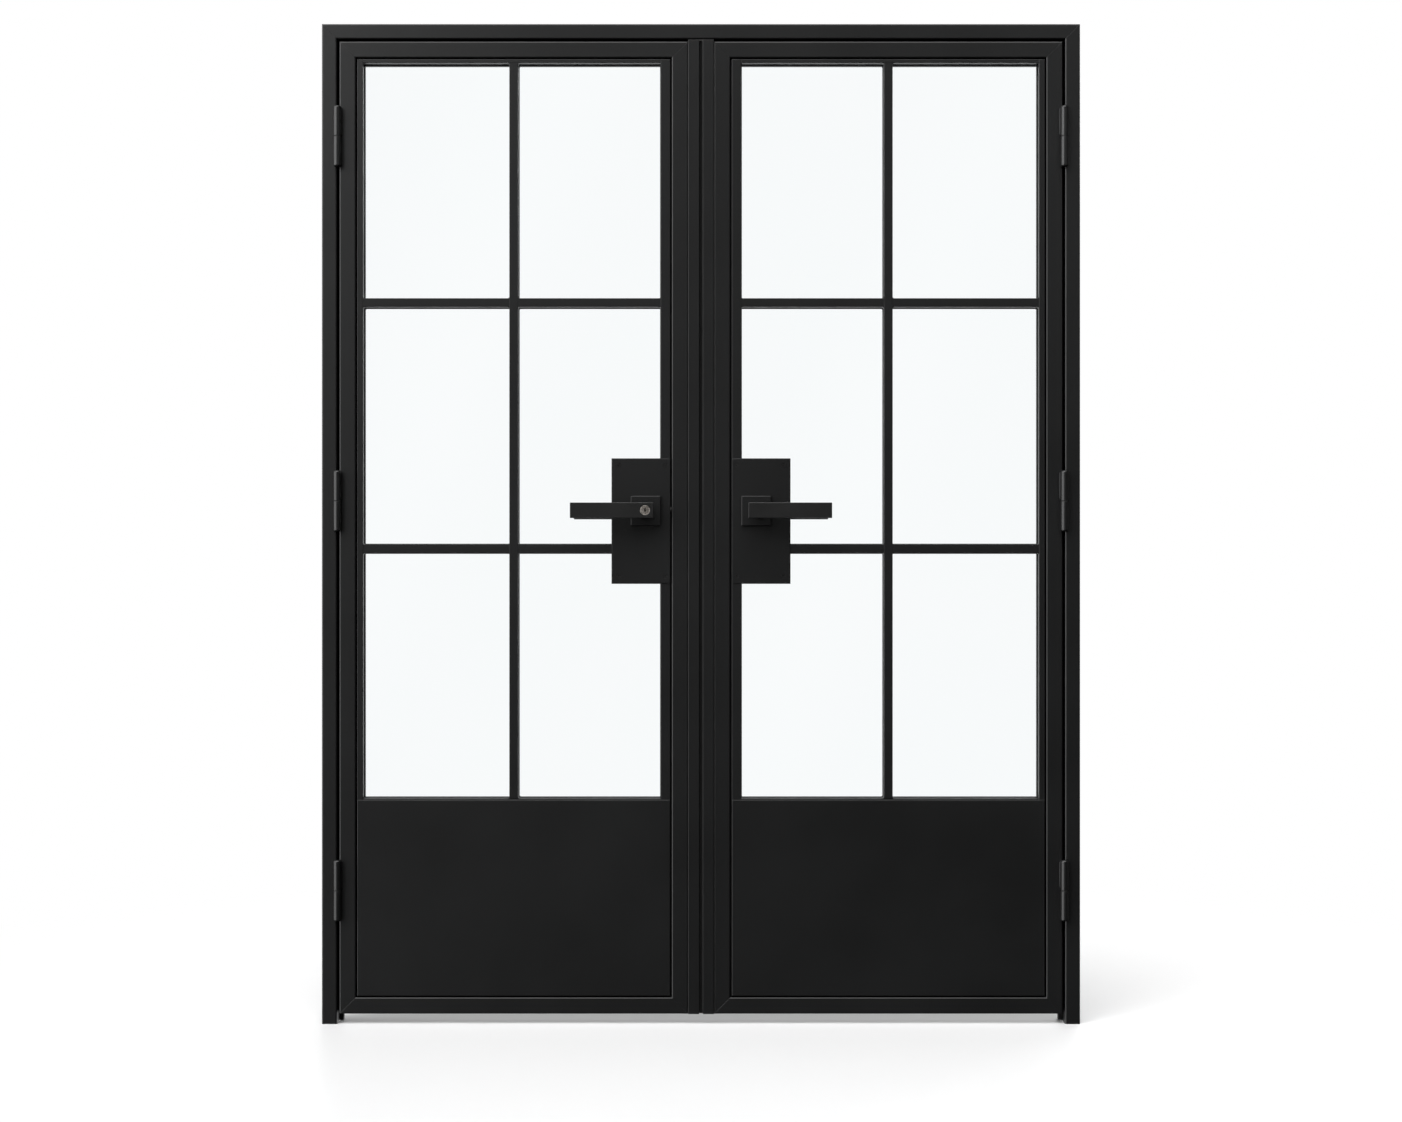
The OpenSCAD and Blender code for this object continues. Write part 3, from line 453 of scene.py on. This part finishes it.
def skin(rings, loop=False):
    """Quads between neighbouring rings of points. A loop joins the last ring to the first; otherwise
    one flat face closes each end. Gives points, quads and end faces."""
    rings = np.asarray(rings, float)
    count, size, _ = rings.shape
    row, column = np.meshgrid(np.arange(count if loop else count - 1), np.arange(size), indexing="ij")
    after, beside = (row + 1) % count, (column + 1) % size
    quads = np.stack([row * size + column, row * size + beside,
                      after * size + beside, after * size + column], -1)
    ends = [] if loop else [np.arange(size)[::-1], np.arange((count - 1) * size, count * size)]
    return rings.reshape(-1, 3), quads.reshape(-1, 4), ends


def model(name, shapes):
    """One object made of several closed skins, with every face turned outwards."""
    starts = np.cumsum([0] + [len(points) for points, _, _ in shapes[:-1]])
    faces = np.concatenate([quads + start for start, (_, quads, _) in zip(starts, shapes)]).tolist()
    faces += [(end + start).tolist() for start, (_, _, ends) in zip(starts, shapes) for end in ends]
    mesh = bpy.data.meshes.new(name)
    mesh.from_pydata(np.concatenate([points for points, _, _ in shapes]).tolist(), [], faces)
    work = bmesh.new()
    work.from_mesh(mesh)
    bmesh.ops.recalc_face_normals(work, faces=work.faces)
    work.to_mesh(mesh)
    work.free()
    piece = bpy.data.objects.new(name, mesh)
    bpy.context.scene.collection.objects.link(piece)
    finish_mesh(piece)
    return piece


def bar(low, high, radius, ease=None, axis=None, steps=4):
    """A square bar between two corners. The rounded rectangle is carried along the axis (the longest side
    unless given), and near each end it is inset by ease times (1 - sine) as it moves on by ease times
    (1 - cosine)."""
    low, size = np.array(low, float), np.array(high, float) - np.array(low, float)
    axis = int(np.argmax(size)) if axis is None else axis
    across = [(axis + 1) % 3, (axis + 2) % 3]
    ease = radius if ease is None else ease
    turn = np.linspace(0, np.pi / 2, steps + 1)
    inset, along = ease * (1 - np.sin(turn)), ease * (1 - np.cos(turn))
    inset, along = np.concatenate([inset, inset[::-1]]), np.concatenate([along, size[axis] - along[::-1]])
    outline = rounded(size[across[0]] - 2 * inset, size[across[1]] - 2 * inset,
                      np.maximum(radius - inset, 0.1 * radius), steps)
    rings = np.empty(outline.shape[:2] + (3,))
    rings[:, :, across] = outline + (low + size / 2)[across]
    rings[:, :, axis] = low[axis] + along[:, None]
    return skin(rings)


def solids(node):
    """The (low, high) corners of each separate solid in a CAD node: triangles that share a place are one
    solid, found by handing the lowest label on from corner to corner until nothing changes."""
    mesh = frame["nodes"][node].data
    spots = np.empty(len(mesh.vertices) * 3)
    mesh.vertices.foreach_get("co", spots)
    spots = spots.reshape(-1, 3)
    corner = np.empty(len(mesh.loops), int)
    mesh.loops.foreach_get("vertex_index", corner)
    _, place = np.unique(np.round(spots * 1e5).astype(int), axis=0, return_inverse=True)
    place = place.ravel()
    triangles = place[corner].reshape(-1, 3)
    label, before = np.arange(place.max() + 1), None
    while before is None or (label != before).any():
        before = label.copy()
        lowest = label[triangles].min(axis=1)
        np.minimum.at(label, triangles, lowest[:, None])
        label = label[label]
    owner = label[place]
    return [(spots[owner == one].min(axis=0), spots[owner == one].max(axis=0))
            for one in np.unique(owner)]


# %% Stops, seals and roses
def bars(node, radius, **options):
    """Every solid of a node remade as an eased bar."""
    shapes = [bar(low, high, radius, **options) for low, high in solids(node)]
    return settle(model(node + "_bars", shapes), node)


for node in ("frame_stop_header", "frame_stop_left", "frame_stop_right"):
    bars(node, 1.0 * MM)
bars("frame_seal", 0.6 * MM)
for side in SIDES:
    bars(f"{side}_roses", 1.5 * MM, ease=1.3 * MM, axis=1)

# %% Corner fillers
FILLER_HALF = 6.0 * MM
UPRIGHT_OVER = 1.0
for side in SIDES:
    rail_low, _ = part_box(f"{side}_top_rail")
    uprights = [box for box in solids(f"{side}_glazing_bars") if box[1][2] - box[0][2] > UPRIGHT_OVER]
    uprights.sort(key=lambda box: box[0][0])
    for end, (low, high) in zip(SIDES, uprights):
        filler_low = (low[0], -FILLER_HALF, high[2] - 0.2 * MM)
        filler_high = (high[0], FILLER_HALF, rail_low.z + 0.1 * MM)
        filler = model(f"{side}_corner_filler_{end}", [bar(filler_low, filler_high, 0.3 * MM)])
        filler.data.materials.append(COAT)
        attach(filler, BODY_OF[f"{side}_glazing_bars"])
    print(side, "corner fillers:", len(uprights))

# %% [markdown]
# ## Muntins and their welds
# The muntins are flat bar, welded where they cross and where they meet the frame of the leaf. Each inner
# corner has a small fillet of weld. It could be a bevel on a joined mesh, but the bars are separate solids,
# so each fillet is a skin of its own: a hollow quarter round, whose leg swells and shrinks a little from
# front to back as a laid bead does.

# %% Muntins with fillets
WELD_LEG = 3.2 * MM


def fillet(x, z, over, up, front, back):
    """A weld in an inner corner at (x, z), reaching over and up (each 1 or -1) by its leg. Its face is a
    quarter circle round the far corner of the leg square, and the leg is the size times 1 + 0.07 sine of
    the depth."""
    depth = np.linspace(front, back, 25)
    leg = WELD_LEG * (1 + 0.07 * np.sin(depth * 2 * np.pi / (3.1 * MM)))[:, None]
    turn, bite = np.linspace(0, np.pi / 2, 6), np.full((25, 1), -0.3 * MM)
    across = np.hstack([bite, leg, leg - leg * np.sin(turn), bite])
    height = np.hstack([bite, bite, leg - leg * np.cos(turn), leg])
    deep = np.repeat(depth[:, None], across.shape[1], 1)
    return skin(np.stack([x + over * across, deep, z + up * height], -1))


for side in SIDES:
    cross, upright = solids(f"{side}_muntins_cross"), solids(f"{side}_muntin_upright")
    depth = (cross[0][0][1] + 1.2 * MM, cross[0][1][1] - 1.2 * MM)
    welds = [fillet(end, edge, inward, up, *depth) for low, high in cross
             for end, inward in ((low[0], 1), (high[0], -1)) for edge, up in ((low[2], -1), (high[2], 1))]
    welds += [fillet(edge, end, over, inward, *depth) for low, high in upright
              for end, inward in ((low[2], 1), (high[2], -1)) for edge, over in ((low[0], -1), (high[0], 1))]
    bars_cross = [bar(low, high, 0.8 * MM, ease=0.05 * MM) for low, high in cross]
    settle(model(f"{side}_muntins_and_welds", bars_cross + welds), f"{side}_muntins_cross")
    settle(model(f"{side}_muntin_bar", [bar(low, high, 0.8 * MM, ease=0.05 * MM) for low, high in upright]),
           f"{side}_muntin_upright")
    print(side, "welds:", len(welds))

# %% [markdown]
# ## Kick panels
# Each kick panel is a tray folded from thin sheet, so its four edges are soft, and its broad face is never
# dead flat: the heat of the tack welds pulls it in by a tenth or two of a millimetre. That is why its shine
# drifts. A bevelled box would be quicker, but it stays dead flat. So the face is a grid whose depth is a
# slow wave times a dome that is nothing at the rim.

# %% Folded trays
FOLD = 1.3 * MM
DISHING = 0.22 * MM


def tray(low, high, face, back):
    """A closed slab from the face plane to the back plane (depths in metres). Near the rim the face falls
    away as a quarter circle of the fold radius by distance from the nearest edge; inside, it is dished by a
    wave."""
    rim = FOLD * (1 - np.cos(np.linspace(0, np.pi / 2, 6)))
    lines = [np.unique(np.concatenate([a + rim, np.linspace(a + FOLD, b - FOLD, 49), b - rim]).round(9))
             for a, b in ((low[0], high[0]), (low[2], high[2]))]
    x, z = np.meshgrid(*lines, indexing="ij")
    u, v = (x - low[0]) / (high[0] - low[0]), (z - low[2]) / (high[2] - low[2])
    near = np.minimum(np.minimum(x - low[0], high[0] - x), np.minimum(z - low[2], high[2] - z)).clip(0, FOLD)
    fall = FOLD - np.sqrt(FOLD ** 2 - (FOLD - near) ** 2)
    ripple = 0.6 + 0.4 * np.cos(5.1 * u + 2.3) * np.sin(4.3 * v)
    wave = DISHING * np.sin(np.pi * u) * np.sin(np.pi * v) * ripple
    y = face + np.sign(back - face) * (fall + wave)
    count_x, count_z = x.shape
    index = np.arange(x.size).reshape(x.shape)
    quads = np.stack([index[:-1, :-1], index[1:, :-1], index[1:, 1:], index[:-1, 1:]], -1).reshape(-1, 4)
    edge = np.concatenate([index[:, 0], index[-1, 1:], index[-2::-1, -1], index[0, -2:0:-1]])
    skirt = np.arange(len(edge)) + x.size
    walls = np.stack([edge, np.roll(edge, -1), np.roll(skirt, -1), skirt], -1)
    points = np.stack([x, y, z], -1).reshape(-1, 3)
    behind = points[edge].copy()
    behind[:, 1] = back
    return np.concatenate([points, behind]), np.concatenate([quads, walls]), [skirt]


REVEAL = 3.0 * MM
for side in SIDES:
    for face_name, towards_back in (("front", 1), ("back", -1)):
        node = f"{side}_kick_panel_{face_name}"
        low, high = (np.array(corner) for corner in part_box(node))
        face, middle = (low[1], high[1]) if towards_back > 0 else (high[1], low[1])
        inner_low, inner_high = low + (REVEAL, 0, REVEAL), high - (REVEAL, 0, 0)
        floor_of_groove = sorted((middle, middle - towards_back * 1.5 * MM))
        strips = [((low[0], high[0]), (low[2], low[2] + REVEAL)),
                  ((low[0], low[0] + REVEAL), (low[2], high[2])),
                  ((high[0] - REVEAL, high[0]), (low[2], high[2]))]
        shapes = [tray(inner_low, inner_high, face, middle)]
        shapes += [bar((xs[0], floor_of_groove[0], zs[0]), (xs[1], floor_of_groove[1], zs[1]), 0.2 * MM)
                   for xs, zs in strips]
        settle(model(f"{side}_kick_tray_{face_name}", shapes), node)

# %% [markdown]
# ## Turned pieces
# Hinge barrels, lever necks, the key cylinder and the screw heads are all made on a lathe, so each is a
# profile turned round an axis. A cylinder primitive would leave sharp rims, and on these pieces the rims
# are what catches the light. Each knuckle is also tacked to its tube by a bead of weld, which shows from
# the side.


# %% Turning and beads
def turned(profile, centre, axis=2, steps=56, loop=False, corners=0.0):
    """A profile of (radius, height) rows turned round an axis through centre: radius times (cosine, sine)
    across it and height along it. A row may have a third value, from 0 to 1, that blends the circle into a
    hexagon: its radius is then divided by the cosine of the angle from the nearest flat, over that at a
    corner."""
    profile = np.array([tuple(row) + (0.0,) * (3 - len(row)) for row in profile])
    angle = np.linspace(0, 2 * np.pi, steps, endpoint=False)
    flat = math.cos(np.pi / 6) / np.cos(angle % (np.pi / 3) - np.pi / 6)
    radius = profile[:, :1] * (1 + profile[:, 2:] * (flat - 1))
    rings = np.empty((len(profile), steps, 3))
    rings[:, :, (axis + 1) % 3] = centre[(axis + 1) % 3] + radius * np.cos(angle)
    rings[:, :, (axis + 2) % 3] = centre[(axis + 2) % 3] + radius * np.sin(angle)
    rings[:, :, axis] = centre[axis] + profile[:, 1:2]
    return skin(rings, loop)


def pin(radius, start, stop, ease_start, ease_stop, steps=6):
    """The profile of a round bar with rounded ends: near an end the radius is less by ease times (1 - sine)
    and the height has moved on by ease times (1 - cosine)."""
    turn = np.linspace(0, np.pi / 2, steps + 1)
    first = np.stack([radius - ease_start * (1 - np.sin(turn)), start + ease_start * (1 - np.cos(turn))], -1)
    last = np.stack([radius - ease_stop * (1 - np.sin(turn)), stop - ease_stop * (1 - np.cos(turn))], -1)
    return np.concatenate([first, last[::-1]])


def bead(x, y, start, stop, radius=1.5 * MM):
    """A laid weld along Z: a circle whose radius is the size times 0.85 + 0.15 of the absolute sine of the
    height over one ripple, closing to a point at both ends."""
    height = np.linspace(start, stop, 90)
    close = np.sqrt(np.clip((height - start) * (stop - height), 0, None) / ((stop - start) / 2) ** 2) ** 0.3
    ripple = 0.85 + 0.15 * np.abs(np.sin((height - start) * np.pi / (2.4 * MM)))
    size = radius * ripple * np.maximum(close, 0.05)
    return turned(np.stack([size, height], -1), (x, y, 0), steps=14)


# %% Hinge knuckles
KNUCKLE_DOME = 4.2 * MM
KNUCKLE_RIM = 0.7 * MM


def knuckles(node, outward, dome_top):
    """Barrels with one domed end, each with its web and bead; outward is 1 on the jamb and -1 on the leaf."""
    shapes = []
    for low, high in solids(node):
        radius = (high[0] - low[0]) / 2
        x, y, way = (low[0] + high[0]) / 2, low[1] + radius, outward * np.sign(low[0])
        eases = (KNUCKLE_RIM, KNUCKLE_DOME) if dome_top else (KNUCKLE_DOME, KNUCKLE_RIM)
        web = sorted((x + way * 2.7 * MM, x + way * (radius - 0.2 * MM)))
        shapes += [turned(pin(radius, low[2], high[2], *eases), (x, y, 0)),
                   bar((web[0], y, low[2] + 3 * MM), (web[1], high[1], high[2] - 3 * MM), 0.5 * MM),
                   bead(x + way * (radius + 0.1 * MM), high[1] - 0.3 * MM, low[2] + 4 * MM, high[2] - 4 * MM)]
    return settle(model(node + "_turned", shapes), node)


knuckles("frame_hinge_knuckles", 1, dome_top=False)
for side in SIDES:
    knuckles(f"{side}_hinge_knuckles", -1, dome_top=True)
frame["nodes"]["hinge_washers"].data.materials[0] = RUBBER

# %% [markdown]
# ## Levers, key cylinder and screws
# A lever is a bar of flat steel on a round neck. The one with the lock in it has a bore through its bar, so
# it keeps its engineering shape with eased edges. A bevel on the other three marked their faces with
# slanting lines, so each of those is a carried bar and a turned neck. The key cylinder is a brass ring
# round a plug. A picture of a keyhole would be flat from the side, so the ring, its chamfer and the keyway
# are real shapes.

# %% Levers
LEVER_EDGE = 1.0 * MM
BAR_THICK = 12 * MM
SPINDLE_INSET = 17 * MM
NECK_RADIUS = 13 * MM
eased("left_lever_front", 0.8 * MM, material=HARDWARE)
for node in ("left_lever_back", "right_lever_front", "right_lever_back"):
    low, high = (np.array(corner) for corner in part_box(node))
    outer, inner = (low[1], high[1]) if low[1] < 0 else (high[1], low[1])
    thick = outer - np.sign(outer) * BAR_THICK
    reach = abs(low[0]), abs(high[0])
    spindle = np.sign(low[0]) * (min(reach) + SPINDLE_INSET)
    grip = bar((low[0], min(outer, thick), low[2]), (high[0], max(outer, thick), high[2]), LEVER_EDGE,
               axis=0)
    neck = turned(pin(NECK_RADIUS, *sorted((inner, thick + np.sign(outer) * 2 * MM)), 0.3 * MM, 0.3 * MM),
                  (spindle, 0, (low[2] + high[2]) / 2), axis=1)
    settle(model(node + "_turned", [grip, neck]), node, HARDWARE)

# %% Key cylinder and plug
low, high = (np.array(corner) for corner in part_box("left_key_cylinder"))
centre = (low + high) / 2
plug_low, plug_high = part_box("left_key_plug")
bore, rim = (plug_high.x - plug_low.x) / 2 + 0.08 * MM, (high[0] - low[0]) / 2
ring = [(bore, high[1]), (bore, low[1] + 0.5 * MM), (bore + 0.4 * MM, low[1] + 0.15 * MM),
        (rim - 1.1 * MM, low[1] + 0.15 * MM), (rim - 0.9 * MM, low[1]), (rim - 0.35 * MM, low[1]),
        (rim - 0.1 * MM, low[1] + 0.2 * MM), (rim, low[1] + 0.6 * MM), (rim, high[1])]
ring_shape = turned(ring, (centre[0], 0, centre[2]), axis=1, loop=True)
settle(model("key_cylinder_ring", [ring_shape]), "left_key_cylinder")


def keyed_plug(low, high, centre, wide, tall):
    """A round plug with a keyway right through it. The keyway is a pointed oval: its radius is one over
    (|cosine / half width|^1.5 + |sine / half height|^1.5)^(1 / 1.5). The skin runs out over the face from the
    keyway's wall to the rim, back along the outside, and closes on itself."""
    angle = np.linspace(0, 2 * np.pi, 64, endpoint=False)
    keyway = (np.abs(np.cos(angle) / wide) ** 1.5 + np.abs(np.sin(angle) / tall) ** 1.5) ** (-1 / 1.5)
    round_rim = np.full(64, (high[0] - low[0]) / 2)
    radii = np.stack([keyway, keyway, keyway + 0.3 * MM, round_rim - 0.3 * MM, round_rim, round_rim])
    depth = np.array([high[1], low[1] + 0.3 * MM, low[1], low[1], low[1] + 0.3 * MM, high[1]])
    points = np.stack([centre[0] + radii * np.cos(angle), np.repeat(depth[:, None], 64, 1),
                       centre[2] + radii * np.sin(angle)], -1)
    return skin(points, loop=True)


plug = keyed_plug(plug_low, plug_high, centre, 1.7 * MM, 4.4 * MM)
settle(model("key_plug_face", [plug]), "left_key_plug")

# %% Plate screws with hexagon sockets
for side in SIDES:
    node, shapes = f"{side}_plate_screws", []
    for low, high in solids(node):
        face, tip = (low[1], high[1]) if low[1] < 0 else (high[1], low[1])
        way, radius = np.sign(tip - face), (high[0] - low[0]) / 2
        rows = [(2.0 * MM, tip, 0), (2.0 * MM, face + way * 2.3 * MM, 0), (radius, face + way * 0.5 * MM, 0),
                (radius - 0.15 * MM, face + way * 0.2 * MM, 0), (radius - 0.5 * MM, face, 0),
                (2.6 * MM, face, 0), (2.5 * MM, face, 1), (2.4 * MM, face + way * 0.15 * MM, 1),
                (2.4 * MM, face + way * 1.9 * MM, 1), (0.2 * MM, face + way * 2.1 * MM, 1)]
        shapes.append(turned(rows, ((low[0] + high[0]) / 2, 0, (low[2] + high[2]) / 2), axis=1, steps=48))
    settle(model(f"{side}_socket_screws", shapes), node, HARDWARE)
    print(side, "socket screws:", len(shapes))

# %% [markdown]
# ## Meeting seal, bolts and glass
# The meeting seal is an extruded rubber strip with a round nose that presses on the other leaf, which is
# why no light shows between the leaves. Rubber gives way to the latch nose as it passes, so here it runs on
# past the strike. It could be a bevelled box, but a carried bar with a large radius gives the nose in one
# step. The bolts, the latch housing, the strike plate and the glass start from their engineering shape,
# because only their edges need work. Inside the leaf, a few faces of the eased housing stray from the real
# ones by up to 3.3 mm.

# %% Seal, bolts, latch and glass
SEAL_PRESS = 1.05 * MM
seal_low, seal_high = (np.array(corner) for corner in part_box("right_meeting_seal"))
strike_low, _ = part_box("right_strike_plate")
nose_side = (seal_low[0] - SEAL_PRESS, seal_low[1], seal_low[2])
strike_side = (strike_low.x - 0.1 * MM, seal_high[1], seal_high[2])
seal = bar(nose_side, strike_side, 2.9 * MM, ease=0.4 * MM, steps=6)
settle(model("meeting_seal_strip", [seal]), "right_meeting_seal")
for node in ("right_top_bolt", "right_bottom_bolt"):
    eased(node, 0.5 * MM, material=STEEL)
for node in ("left_latch_housing", "right_strike_plate"):
    eased(node, 0.4 * MM, 2, material=HARDWARE)
for side in SIDES:
    eased(f"{side}_glass", 0.5 * MM, 2)
